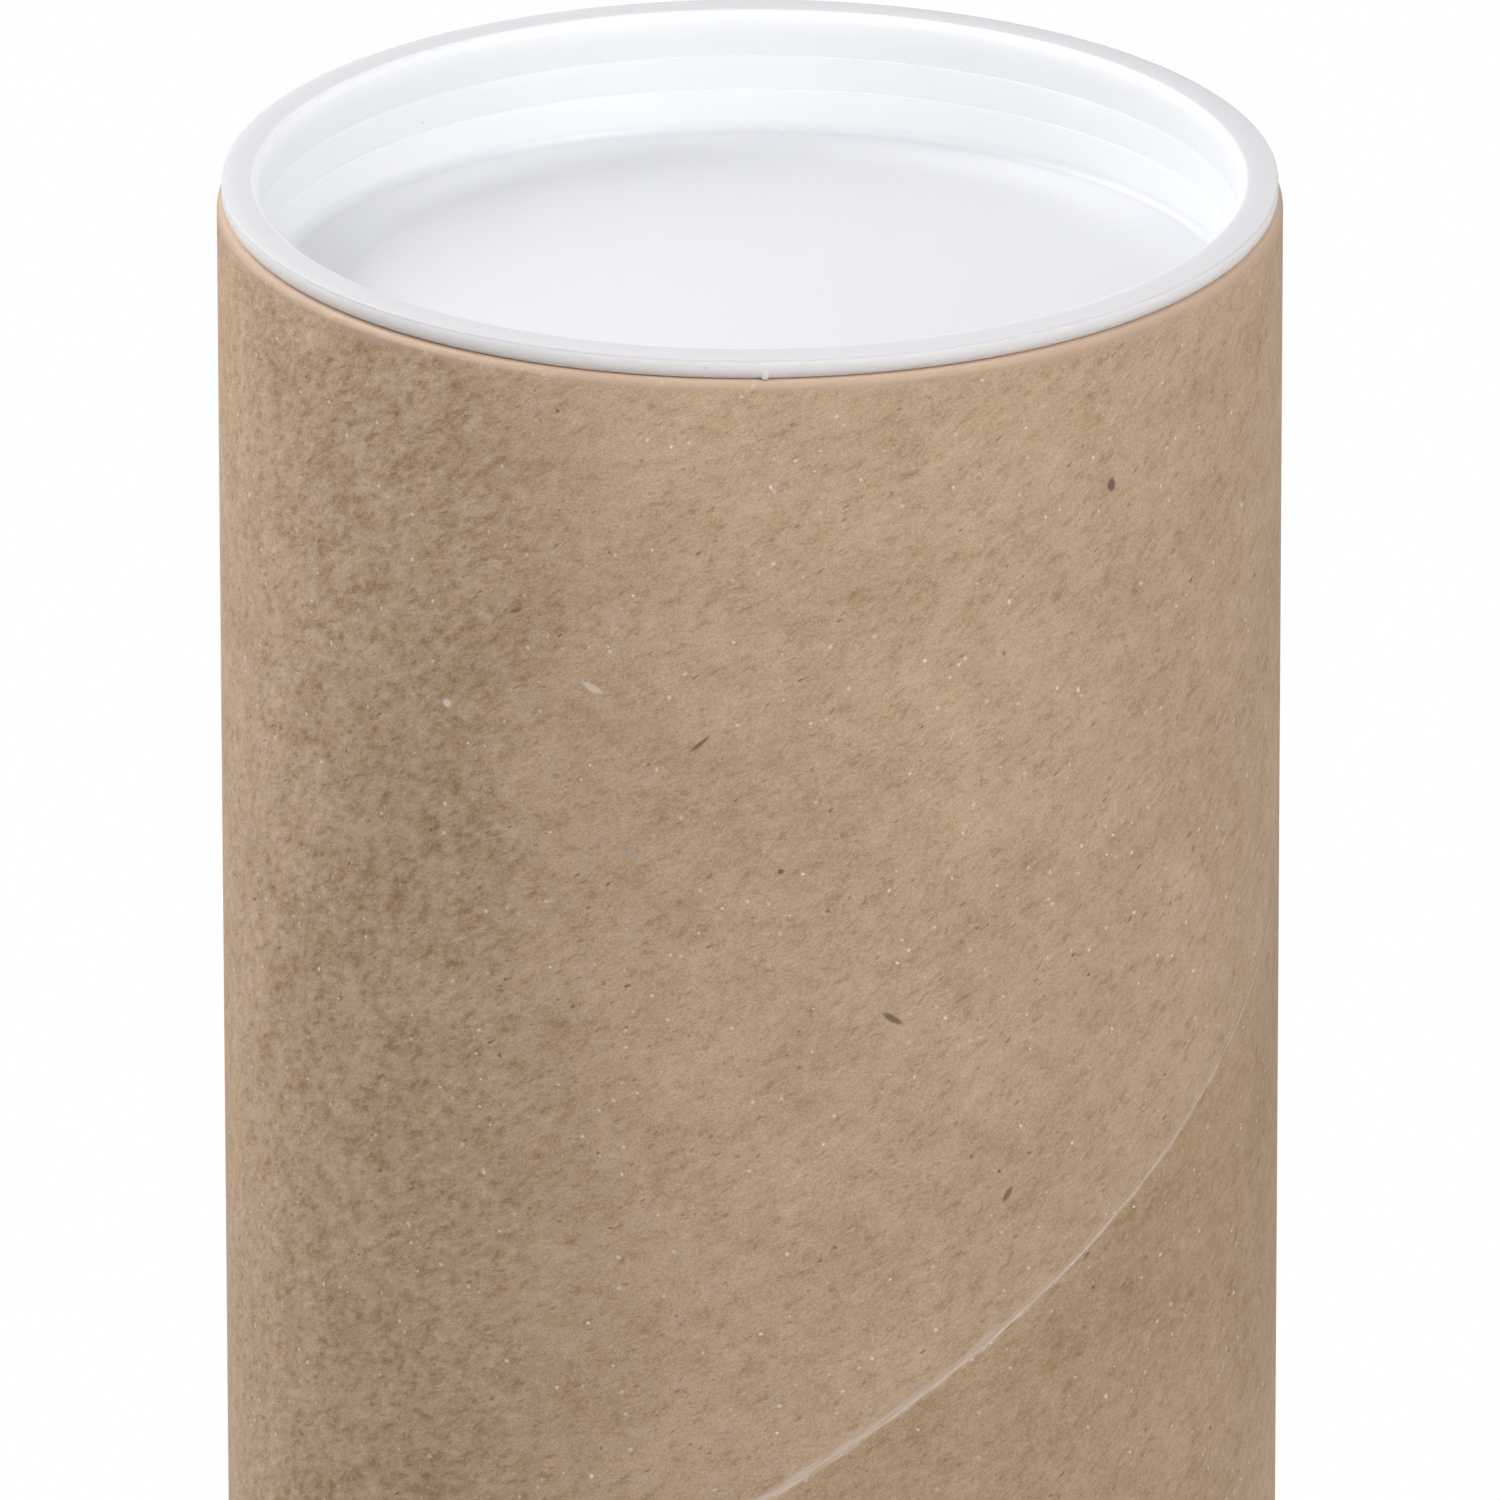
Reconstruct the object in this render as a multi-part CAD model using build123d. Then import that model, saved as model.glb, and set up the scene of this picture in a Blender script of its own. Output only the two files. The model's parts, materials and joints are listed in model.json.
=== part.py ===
from build123d import *
import os

# Cardboard mailing tube: a spiral wound kraft tube with a white plastic plug cap in each end.
# Units are millimetres. The tube stands on its lower cap, +Z runs along it, and the origin is
# the middle of the face that it stands on. The front of the tube looks along -Y.

# Paper tube
tube_length = 609.6
tube_bore = 101.6
tube_wall = 2.032
tube_end_round = 0.75          # burnished outer edge of each cut end
tube_mouth_round = 0.2         # worn inner edge of each cut end

# Seams: the shallow valleys where the edges of the outermost and innermost plies meet
seam_rise_per_turn = 213.6
seam_front_drop = 118.6        # below the top end, where the outer seam crosses the front
seam_width = 1.1               # measured along the tube
seam_depth = 0.14
liner_width = 0.9
liner_depth = 0.14
liner_turn = 140.0             # degrees round from the outer seam

# Flange of the cap
flange_inset = 0.48            # how far it stays inside the tube's outer surface
flange_thickness = 2.22
flange_top_edge = 0.15         # fine bevel round the top
flange_under_round = 1.1
rim_width = 3.18               # flat ring seen from above

# Recess of the cap, whose wall goes down in equal bands, each a fine step narrower than the last
mouth_height = 1.2
mouth_flare = 0.45
recess_depth = 12.8
band_count = 3
band_draft = 0.04
band_step = 0.1
floor_fillet = 1.0
floor_border = 8.3             # from the foot of the recess wall to the ring on the floor
floor_step = 0.12              # how far the middle of the floor stands up
floor_step_width = 0.3

# Plug of the cap, with a grip rib level with the foot of each band
floor_thickness = 1.5
plug_gap = 0.8                 # radial gap between the plug's wall and the bore
rib_gap = 0.05                 # radial gap between the ribs' crests and the bore
rib_root = 1.4                 # along the axis
rib_crest = 0.4
lead_in = 1.2                  # rounded lower edge of the plug

# Gate mark: the stub left under the flange where the moulding was cut off its runner
gate_width = 0.7
gate_depth = 1.1
gate_gap = 0.1                 # between the stub and the tube's end
gate_angle = 1.6               # degrees to the right of the front

# Reach of a cutting shape past the surface that it cuts
overrun = 2.0

tube_radius = tube_bore / 2 + tube_wall
bore_radius = tube_bore / 2
tube_bottom = flange_thickness
tube_top = tube_bottom + tube_length
overall_height = tube_top + flange_thickness


def plain_tube():
    """The wall as it is wound and cut, with worn and burnished end edges."""
    with BuildSketch(Plane.XZ) as section:
        with Locations((bore_radius, tube_bottom)):
            Rectangle(tube_wall, tube_length, align=(Align.MIN, Align.MIN))
        fillet(section.vertices().group_by(Axis.X)[-1], tube_end_round)
        fillet(section.vertices().group_by(Axis.X)[0], tube_mouth_round)
    return revolve(section.sketch, axis=Axis.Z)


def seam_cutter(surface_radius, outwards, width, depth, turn):
    """A helical V that is width across at the wall's surface and runs out of both ends.

    outwards is 1 for a seam on the outside of the wall and -1 for one on the bore.
    """
    foot = tube_bottom - overrun
    valley_radius = surface_radius - outwards * depth
    mouth_radius = surface_radius + outwards * overrun
    mouth_half = width / 2 * (depth + overrun) / depth
    helix = Helix(seam_rise_per_turn, tube_length + 2 * overrun, valley_radius)
    with BuildSketch(Plane.XZ) as valley:
        with BuildLine():
            Polyline((valley_radius, 0), (mouth_radius, mouth_half), (mouth_radius, -mouth_half), close=True)
        make_face()
    cutter = sweep(valley.sketch, path=helix, is_frenet=True)
    front = -90.0
    front_height = tube_top - seam_front_drop
    foot_angle = front + turn + (foot - front_height) / seam_rise_per_turn * 360.0
    return Pos(0, 0, foot) * Rot(0, 0, foot_angle) * cutter


def make_tube():
    outer_seam = seam_cutter(tube_radius, 1, seam_width, seam_depth, 0.0)
    liner_seam = seam_cutter(bore_radius, -1, liner_width, liner_depth, liner_turn)
    return plain_tube() - outer_seam - liner_seam


def cap_section():
    """Half section of the cap, with the face of its flange at height 0 and the plug below."""
    flange_radius = tube_radius - flange_inset
    rim_radius = flange_radius - rim_width
    wall_radius = rim_radius - mouth_flare
    plug_radius = bore_radius - plug_gap
    rib_radius = bore_radius - rib_gap
    plug_bottom = -recess_depth - floor_thickness
    band_height = (recess_depth - floor_fillet - mouth_height) / band_count
    band_feet = [-mouth_height - band_height * (number + 1) for number in range(band_count)]

    with BuildSketch(Plane.XZ) as section:
        with BuildLine():
            # Underside and the plug's outside, from the middle up to the flange
            Line((0, plug_bottom), (plug_radius - lead_in, plug_bottom))
            RadiusArc((plug_radius - lead_in, plug_bottom), (plug_radius, plug_bottom + lead_in), -lead_in)
            last = (plug_radius, plug_bottom + lead_in)
            for height in reversed(band_feet):
                rib = [
                    (plug_radius, height - rib_root / 2),
                    (rib_radius, height - rib_crest / 2),
                    (rib_radius, height + rib_crest / 2),
                    (plug_radius, height + rib_root / 2),
                ]
                Polyline(last, *rib)
                last = rib[-1]
            Line(last, (plug_radius, -flange_thickness))

            # Flange
            under_edge = (flange_radius - flange_under_round, -flange_thickness)
            side_foot = (flange_radius, -flange_thickness + flange_under_round)
            side_top = (flange_radius, -flange_top_edge)
            top_edge = (flange_radius - flange_top_edge, 0)
            Line((plug_radius, -flange_thickness), under_edge)
            RadiusArc(under_edge, side_foot, -flange_under_round)
            Polyline(side_foot, side_top, top_edge, (rim_radius, 0))

            # Recess, from its curved mouth down to the floor
            mouth_foot = (wall_radius, -mouth_height)
            TangentArc(mouth_foot, (rim_radius, 0), tangent=(0, 1))
            band = mouth_foot
            for height in band_feet[:-1]:
                foot = (band[0] - band_draft, height)
                step = (foot[0] - band_step, height)
                Polyline(band, foot, step)
                band = step
            foot_radius = band[0] - band_draft
            wall_foot = (foot_radius, -recess_depth + floor_fillet)
            floor_edge = (foot_radius - floor_fillet, -recess_depth)
            Line(band, wall_foot)
            RadiusArc(wall_foot, floor_edge, floor_fillet)

            # Floor, whose middle stands a little higher than its border
            border_edge = (foot_radius - floor_border, -recess_depth)
            middle_edge = (border_edge[0] - floor_step_width, -recess_depth + floor_step)
            middle = (0, -recess_depth + floor_step)
            Polyline(floor_edge, border_edge, middle_edge, middle, (0, plug_bottom))
        make_face()
    return section.sketch


def gate_stub():
    """The stub under the front of the flange, square on and just clear of the tube's end."""
    flange_radius = tube_radius - flange_inset
    stub_height = flange_under_round
    stub_bottom = -flange_thickness + gate_gap
    with BuildPart() as stub:
        with Locations((0, -flange_radius, stub_bottom)):
            Box(gate_width, gate_depth, stub_height, align=(Align.CENTER, Align.MIN, Align.MIN))
        fillet(stub.edges().filter_by(Axis.Z).group_by(Axis.Y)[0], gate_width / 4)
    return Rot(0, 0, gate_angle) * stub.part


def make_cap():
    return revolve(cap_section(), axis=Axis.Z) + gate_stub()


tube = make_tube()
cap = make_cap()
top_cap = Pos(0, 0, overall_height) * cap
bottom_cap = Rot(180, 0, 0) * cap

os.makedirs("parts", exist_ok=True)
export_step(tube, "parts/tube.step")
export_step(top_cap, "parts/top_cap.step")
export_step(bottom_cap, "parts/bottom_cap.step")
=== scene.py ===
import json
import math
from functools import partial
import bmesh
import bpy
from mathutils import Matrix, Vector

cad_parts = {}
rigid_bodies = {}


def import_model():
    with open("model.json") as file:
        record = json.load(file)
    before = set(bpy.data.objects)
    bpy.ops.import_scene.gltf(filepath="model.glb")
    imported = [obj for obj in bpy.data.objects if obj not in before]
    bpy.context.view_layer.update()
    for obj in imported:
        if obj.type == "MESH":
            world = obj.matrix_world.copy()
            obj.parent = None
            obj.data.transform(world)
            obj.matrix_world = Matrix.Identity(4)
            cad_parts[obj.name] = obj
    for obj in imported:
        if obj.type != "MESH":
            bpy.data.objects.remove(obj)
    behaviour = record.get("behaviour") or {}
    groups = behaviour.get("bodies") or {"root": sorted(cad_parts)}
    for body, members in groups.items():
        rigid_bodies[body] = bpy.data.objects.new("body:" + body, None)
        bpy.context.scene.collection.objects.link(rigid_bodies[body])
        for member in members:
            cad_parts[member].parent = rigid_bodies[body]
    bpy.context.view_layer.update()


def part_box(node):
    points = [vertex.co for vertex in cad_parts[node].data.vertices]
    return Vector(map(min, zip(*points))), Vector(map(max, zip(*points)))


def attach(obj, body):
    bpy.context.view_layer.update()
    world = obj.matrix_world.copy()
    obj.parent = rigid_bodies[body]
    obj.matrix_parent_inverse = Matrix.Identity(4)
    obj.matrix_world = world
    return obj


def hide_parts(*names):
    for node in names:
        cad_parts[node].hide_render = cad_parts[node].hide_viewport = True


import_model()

# a kraft mailing tube standing on end, with a white plug cap in each end, in metres

mm = 0.001
tubeLow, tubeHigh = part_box("tube")
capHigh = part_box("top_cap")[1]
tubeMiddle = (tubeLow.z + tubeHigh.z) / 2
print("frame loaded, tube from", round(tubeLow.z, 4), "to", round(tubeHigh.z, 4))

# how near things have to be, to be merged or picked
near = {
    "merge": 0.0005 * mm,
    "windMerge": 0.001 * mm,    # from one turn of the winding to the next
    "cut": 0.001 * mm,
    "ring": 0.004 * mm,         # an edge to the ring that it is picked for
    "level": 0.01 * mm,         # an edge to the level that it is picked for
}


# colours are typed as seen on screen and turned to linear light here
def hexColour(code):
    parts = [int(code[i:i + 2], 16) / 255 for i in (0, 2, 4)]
    return [p / 12.92 if p <= 0.04045 else ((p + 0.055) / 1.055) ** 2.4 for p in parts] + [1.0]


# one node, its settings and what is plugged into it (a node stands for its first live output)
def addNode(tree, kind, links={}, **settings):
    node = tree.nodes.new("ShaderNode" + kind)
    for name, value in settings.items():
        setattr(node, name, value)
    for name, value in links.items():
        socket = node.inputs[name] if isinstance(name, int) else \
            next(s for s in node.inputs if s.enabled and s.name == name)
        if isinstance(value, bpy.types.Node):
            value = next(s for s in value.outputs if s.enabled)
        if isinstance(value, bpy.types.NodeSocket):
            tree.links.new(value, socket)
        else:
            socket.default_value = value
    return node


def newMaterial(name):
    material = bpy.data.materials.new(name)
    material.use_nodes = True
    material.node_tree.nodes.clear()
    return material, partial(addNode, material.node_tree)


# modelling helpers

def nothingSelected():
    if bpy.context.object and bpy.context.object.mode != "OBJECT":
        bpy.ops.object.mode_set(mode="OBJECT")
    for thing in bpy.data.objects:
        thing.select_set(False)


def makeActive(piece):
    nothingSelected()
    piece.select_set(True)
    bpy.context.view_layer.objects.active = piece


# picks edges in edit mode by the radius and height of both ends, in metres
def pickEdges(piece, test):
    bpy.ops.mesh.select_mode(type="EDGE")
    bpy.ops.mesh.select_all(action="DESELECT")
    shape = bmesh.from_edit_mesh(piece.data)
    count = 0
    for edge in shape.edges:
        ends = [(math.hypot(v.co.x, v.co.y), v.co.z) for v in edge.verts]
        if test(ends, edge):
            edge.select = True
            count += 1
    shape.select_flush_mode()
    bmesh.update_edit_mesh(piece.data)
    return count


def pickRing(piece, radius, height):
    def onRing(ends, edge):
        return all(abs(r - radius) < near["ring"] and abs(h - height) < near["ring"] for r, h in ends)
    return pickEdges(piece, onRing)


def pickOpenEnd(piece, height):
    def openEnd(ends, edge):
        return edge.is_boundary and all(abs(h - height) < near["level"] for r, h in ends)
    return pickEdges(piece, openEnd)


# a chain of points drawn in the XZ plane: x is the radius, z the height
def drawProfile(name, points):
    nothingSelected()
    bpy.ops.mesh.primitive_plane_add(size=mm, location=(0, 0, 0))
    piece = bpy.context.object
    piece.name = name
    piece.data.name = name
    bpy.ops.object.mode_set(mode="EDIT")
    bpy.ops.mesh.select_mode(type="VERT")
    bpy.ops.mesh.select_all(action="SELECT")
    bpy.ops.mesh.merge(type="CENTER")
    bpy.ops.transform.translate(value=(points[0][0], 0, points[0][1]))
    for before, after in zip(points, points[1:]):
        step = (after[0] - before[0], 0, after[1] - before[1])
        bpy.ops.mesh.extrude_region_move(TRANSFORM_OT_translate={"value": step})
    return piece


def finishMesh(piece, creaseDegrees):
    bpy.ops.mesh.select_all(action="SELECT")
    bpy.ops.mesh.remove_doubles(threshold=near["merge"])
    bpy.ops.mesh.normals_make_consistent(inside=False)
    bpy.ops.object.mode_set(mode="OBJECT")
    bpy.ops.object.shade_smooth_by_angle(angle=math.radians(creaseDegrees))


# the tube: two wound skins, outside and bore, joined by rounded cut ends

tubeSizes = {
    "outerRadius": tubeHigh.x,
    "wall": 2.032 * mm,
    "endRound": 0.75 * mm,      # burnished outer edge
    "mouthRound": 0.2 * mm,     # worn inner edge
    "seamRise": 213.6 * mm,     # one turn of the ply
    "seamDrop": 118.6 * mm,     # below the top end, at the front
    "seamWidth": 1.1 * mm,
    "seamDepth": 0.1 * mm,
    "linerWidth": 0.9 * mm,
    "linerDepth": 0.14 * mm,
    "linerTurn": 140.0,         # degrees
    "seamShoulder": 0.4 * mm,   # flat strip beside a seam, which keeps the rest of the wall round
    "stepsPerTurn": 360,
    "roundSteps": 5,
    "creaseDegrees": 50,
}
# across a seam's valley: place as a share of half its width, and dip as a share of its depth
valleyShares = [(-1, 0.06), (-0.5, 0.5), (0, 1), (0.5, 0.5), (1, 0.06)]
boreRadius = tubeSizes["outerRadius"] - tubeSizes["wall"]
seamFrontHeight = tubeHigh.z - tubeSizes["seamDrop"]


# one ply wound up the tube, with the valley of its seam in it
def windPly(name, radius, inwards, width, depth, turn):
    rise = tubeSizes["seamRise"]
    turns = math.ceil((tubeHigh.z - tubeLow.z) / rise) + 2
    sideHeight = seamFrontHeight + rise * (90 - turn) / 360    # of the seam at +X
    startHeight = sideHeight - rise * math.ceil((sideHeight - tubeLow.z) / rise + 0.5)
    half = width / 2
    shoulder = half + tubeSizes["seamShoulder"]
    rows = [(-rise / 2, 0), (-rise / 6, 0), (-shoulder, 0)]
    rows += [(share * half, dip) for share, dip in valleyShares]
    rows += [(shoulder, 0), (rise / 6, 0), (rise / 2, 0)]
    skin = drawProfile(name, [(radius - inwards * depth * dip, startHeight + up) for up, dip in rows])
    bpy.ops.object.mode_set(mode="OBJECT")
    wind = skin.modifiers.new("wind", "SCREW")
    wind.axis = "Z"
    wind.angle = 2 * math.pi
    wind.screw_offset = rise
    wind.iterations = turns
    wind.steps = wind.render_steps = tubeSizes["stepsPerTurn"]
    wind.use_merge_vertices = True
    wind.merge_threshold = near["windMerge"]
    bpy.ops.object.modifier_apply(modifier="wind")
    bpy.ops.object.mode_set(mode="EDIT")
    bpy.ops.mesh.select_all(action="SELECT")
    bpy.ops.mesh.remove_doubles(threshold=2 * near["windMerge"])
    return skin


# cuts the wound ply level at one end and rounds the cut edge towards the inside of the wall
def cutAndRound(skin, radius, inwards, endRound, endHeight, up):
    height = endHeight - up * endRound
    bpy.ops.mesh.select_all(action="SELECT")
    bpy.ops.mesh.bisect(plane_co=(0, 0, height), plane_no=(0, 0, up), clear_outer=True, threshold=near["cut"])
    pickOpenEnd(skin, height)
    at = radius
    level = 0
    for step in range(1, tubeSizes["roundSteps"] + 1):
        lean = math.pi / 2 * step / tubeSizes["roundSteps"]
        nextRadius = radius - inwards * endRound * (1 - math.cos(lean))
        nextLevel = endRound * math.sin(lean)
        bpy.ops.mesh.extrude_region_move(TRANSFORM_OT_translate={"value": (0, 0, up * (nextLevel - level))})
        bpy.ops.transform.resize(value=(nextRadius / at, nextRadius / at, 1), center_override=(0, 0, 0))
        at = nextRadius
        level = nextLevel


def woundSkin(name, radius, inwards, width, depth, turn, endRound):
    skin = windPly(name, radius, inwards, width, depth, turn)
    cutAndRound(skin, radius, inwards, endRound, tubeLow.z, -1)
    cutAndRound(skin, radius, inwards, endRound, tubeHigh.z, 1)
    bpy.ops.object.mode_set(mode="OBJECT")
    return skin


def makeTube():
    s = tubeSizes
    outside = woundSkin("tubeShell", s["outerRadius"], 1, s["seamWidth"], s["seamDepth"], 0, s["endRound"])
    bore = woundSkin("bore", boreRadius, -1, s["linerWidth"], s["linerDepth"], s["linerTurn"],
                     s["mouthRound"])
    makeActive(outside)
    bore.select_set(True)
    bpy.ops.object.join()
    bpy.ops.object.mode_set(mode="EDIT")
    for height in (tubeLow.z, tubeHigh.z):
        pickOpenEnd(outside, height)
        bpy.ops.mesh.fill(use_beauty=True)
    finishMesh(outside, s["creaseDegrees"])
    print("tube wound,", len(outside.data.polygons), "faces")
    return outside


# the plug cap: a dish with a flange, ribs round the outside and fine steps down the recess

capSizes = {
    "flangeRadius": capHigh.x,
    "flangeThickness": 2.22 * mm,
    "flangeTopRound": 0.18 * mm,
    "flangeUnderRound": 1.1 * mm,
    "rimWidth": 3.18 * mm,
    "rimRound": 0.06 * mm,
    "mouthHeight": 1.2 * mm,
    "mouthFlare": 0.45 * mm,
    "mouthSteps": 6,
    "recessDepth": 12.8 * mm,
    "bands": 3,
    "bandDraft": 0.04 * mm,
    "bandStep": 0.1 * mm,
    "stepRound": 0.05 * mm,
    "floorFillet": 1.0 * mm,
    "floorBorder": 8.3 * mm,
    "floorStep": 0.12 * mm,
    "floorStepWidth": 0.3 * mm,
    "floorThickness": 1.5 * mm,
    "plugGap": 0.8 * mm,
    "ribGap": 0.05 * mm,
    "ribRoot": 1.4 * mm,
    "ribCrest": 0.4 * mm,
    "ribRound": 0.12 * mm,
    "leadIn": 1.2 * mm,
    "steps": 360,
    "creaseDegrees": 30,
}
# the stub left under the front of the flange, where the moulding was cut from its runner
stubSizes = {
    "width": 0.7 * mm,
    "depth": 1.1 * mm,
    "gap": 0.1 * mm,            # between the stub and the tube's end
    "round": 0.17 * mm,
    "degrees": 1.6,             # to the right of the front
}


# the cap's outline with sharp corners, and the corners to be rounded: radius, height, size, segments
def capProfile():
    s = capSizes
    rim = s["flangeRadius"] - s["rimWidth"]
    wall = rim - s["mouthFlare"]
    plug = boreRadius - s["plugGap"]
    rib = boreRadius - s["ribGap"]
    bottom = -s["recessDepth"] - s["floorThickness"]
    under = -s["flangeThickness"]
    bandHeight = (s["recessDepth"] - s["floorFillet"] - s["mouthHeight"]) / s["bands"]
    feet = [-s["mouthHeight"] - bandHeight * (n + 1) for n in range(s["bands"])]
    rounds = [
        (plug, bottom, s["leadIn"], 6),
        (s["flangeRadius"], under, s["flangeUnderRound"], 8),
        (s["flangeRadius"], 0, s["flangeTopRound"], 5),
        (rim, 0, s["rimRound"], 2),
    ]

    points = [(0, bottom), (plug, bottom)]
    for foot in reversed(feet):
        points += [(plug, foot - s["ribRoot"] / 2), (rib, foot - s["ribCrest"] / 2),
                   (rib, foot + s["ribCrest"] / 2), (plug, foot + s["ribRoot"] / 2)]
        rounds += [(rib, foot + side * s["ribCrest"] / 2, s["ribRound"], 2) for side in (-1, 1)]
    points += [(plug, under), (s["flangeRadius"], under), (s["flangeRadius"], 0), (rim, 0)]

    # the mouth is an arc that meets the wall upright and the rim at an angle
    arc = (s["mouthFlare"] ** 2 + s["mouthHeight"] ** 2) / (2 * s["mouthFlare"])
    sweep = math.asin(s["mouthHeight"] / arc)
    for n in range(s["mouthSteps"] - 1, -1, -1):
        lean = sweep * n / s["mouthSteps"]
        points.append((wall + arc * (1 - math.cos(lean)), -s["mouthHeight"] + arc * math.sin(lean)))

    # the recess wall and its floor, whose middle stands a little higher
    at = wall
    for foot in feet[:-1]:
        at -= s["bandDraft"] + s["bandStep"]
        points += [(at + s["bandStep"], foot), (at, foot)]
        rounds.append((at, foot, s["stepRound"], 2))
    at -= s["bandDraft"]
    border = at - s["floorBorder"]
    middle = -s["recessDepth"] + s["floorStep"]
    points += [(at, -s["recessDepth"]), (border, -s["recessDepth"]),
               (border - s["floorStepWidth"], middle), (0, middle)]
    rounds.append((at, -s["recessDepth"], s["floorFillet"], 8))
    return points, rounds


def makeStub():
    nothingSelected()
    height = capSizes["flangeUnderRound"]
    low = stubSizes["gap"] - capSizes["flangeThickness"]
    front = -capSizes["flangeRadius"]
    bpy.ops.mesh.primitive_cube_add(size=1, location=(0, front + stubSizes["depth"] / 2, low + height / 2),
                                    scale=(stubSizes["width"], stubSizes["depth"], height))
    stub = bpy.context.object
    bpy.ops.object.mode_set(mode="EDIT")
    bpy.ops.mesh.select_all(action="SELECT")
    bpy.ops.mesh.bevel(offset_type="OFFSET", offset=stubSizes["round"], segments=3, affect="EDGES")
    bpy.ops.mesh.select_all(action="SELECT")
    bpy.ops.transform.rotate(value=-math.radians(stubSizes["degrees"]), orient_axis="Z",
                             center_override=(0, 0, 0))
    bpy.ops.object.mode_set(mode="OBJECT")
    return stub


def makeCap():
    points, rounds = capProfile()
    cap = drawProfile("plugCap", points)
    bpy.ops.mesh.select_all(action="SELECT")
    bpy.ops.mesh.spin(steps=capSizes["steps"], angle=2 * math.pi, center=(0, 0, 0), axis=(0, 0, 1))
    bpy.ops.mesh.select_all(action="SELECT")
    bpy.ops.mesh.remove_doubles(threshold=near["merge"])
    for radius, height, size, segments in rounds:
        if pickRing(cap, radius, height):
            bpy.ops.mesh.bevel(offset_type="OFFSET", offset=size, segments=segments, profile=0.5,
                               affect="EDGES")
        else:
            print("no ring at", radius, height)
    finishMesh(cap, capSizes["creaseDegrees"])

    stub = makeStub()
    makeActive(cap)
    weld = cap.modifiers.new("weld", "BOOLEAN")
    weld.operation = "UNION"
    weld.solver = "EXACT"
    weld.object = stub
    bpy.ops.object.modifier_apply(modifier="weld")
    bpy.data.objects.remove(stub)
    return cap


def placeCap(cap, name, turned, height):
    makeActive(cap)
    bpy.ops.object.duplicate()
    piece = bpy.context.object
    piece.name = name
    piece.data.name = name
    bpy.ops.object.mode_set(mode="EDIT")
    bpy.ops.mesh.select_all(action="SELECT")
    if turned:
        bpy.ops.transform.rotate(value=math.pi, orient_axis="X", center_override=(0, 0, 0))
    bpy.ops.transform.translate(value=(0, 0, height))
    bpy.ops.object.mode_set(mode="OBJECT")
    bpy.ops.object.shade_smooth_by_angle(angle=math.radians(capSizes["creaseDegrees"]))
    print(name, "placed,", len(piece.data.polygons), "faces")
    return piece


tubePiece = makeTube()
capMaster = makeCap()
topCap = placeCap(capMaster, "topPlugCap", False, capHigh.z)
bottomCap = placeCap(capMaster, "bottomPlugCap", True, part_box("bottom_cap")[0].z)
bpy.data.objects.remove(capMaster)

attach(tubePiece, "tube")
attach(topCap, "top_cap")
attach(bottomCap, "bottom_cap")
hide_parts("tube")
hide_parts("top_cap")
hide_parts("bottom_cap")


# materials

# kraft board: brown recycled paper wound and glued, left bare. It is dead matt and fibrous, its grain runs
# up the winding, and short dark fibres, white paper specks and paler patches show from close by
kraft = {
    "darkTone": "A1815A",
    "lightTone": "E6CBB4",
    "yellowing": "FFFBF0",
    "darkFibre": "775737",
    "brownFibre": "8F7050",
    "darkSpot": "5A4A3E",
    "palePatch": "D6BFA2",
    "whiteSpeck": "F2EAE6",
    "blueSpeck": "8FA5B5",
    "burnished": "C9AE99",      # rubbed round outer edge of a cut end
    "paintedGapLight": "E6D3C0",     # painted light that lifts the shade in the gap where the flange meets the end
    "cutFace": "C9AB8E",
    "glueLine": "A18266",
    "seamRub": "E8D6C8",        # paper polished along the butt seam
    "seamCrack": "735A44",
    "paleFlake": "E8D8CB",
    "roughness": 0.86,
    "cloud": 12 * mm,           # sizes of the mottling
    "patch": 3 * mm,
    "streak": 0.9 * mm,
    "fibre": 0.25 * mm,
    "grit": 0.17 * mm,
    "waver": 0.8 * mm,          # how far the grain wanders sideways
    "grainTurn": 29.0,          # degrees between the grain and the seam
    "relief": 0.04 * mm,
}
# across the butt seam unless said otherwise
seamLook = {
    "drift": 0.3 * mm,          # how far the seam wanders
    "rubShift": 0.12 * mm,      # the rubbed band lies a little above the hair line, where it also paints light over the valley's shaded upper flank
    "rubReach": 1.5 * mm,       # where the band begins and where it is full, before it frays
    "rubFull": 0.8 * mm,
    "fray": 1.1 * mm,
    "fibreFray": 0.4 * mm,
    "scuff": 0.22 * mm,         # width of the streaks that fray it, and their length along the seam
    "scuffLength": 3.667 * mm,
    "swell": 230 * mm,          # the rubbing comes and goes along the seam
    "swellStart": -4.8,         # radians
    "crackShift": 0.05 * mm,
    "crackReach": 0.13 * mm,
    "crackFull": 0.04 * mm,
}
# measured from the cut end, and in from the outside
endLook = {
    "wornReach": 3.1 * mm,      # where the burnishing begins and where it is full, before it frays
    "wornFull": 2.2 * mm,
    "patchFray": 2.4 * mm,
    "streakFray": 1.2 * mm,
    "faceReach": 0.06 * mm,
    "faceFull": 0.015 * mm,
    "roundReach": 1.2 * mm,     # from here in, the rounded edge gives way to the flat face
    "roundEnd": 1.7 * mm,
    "gapLightReach": 0.2 * mm,
    "gapLightFull": 0.03 * mm,
    "ply": 0.39 * mm,           # thickness of one ply
    "plyWander": 0.12 * mm,
}
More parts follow.
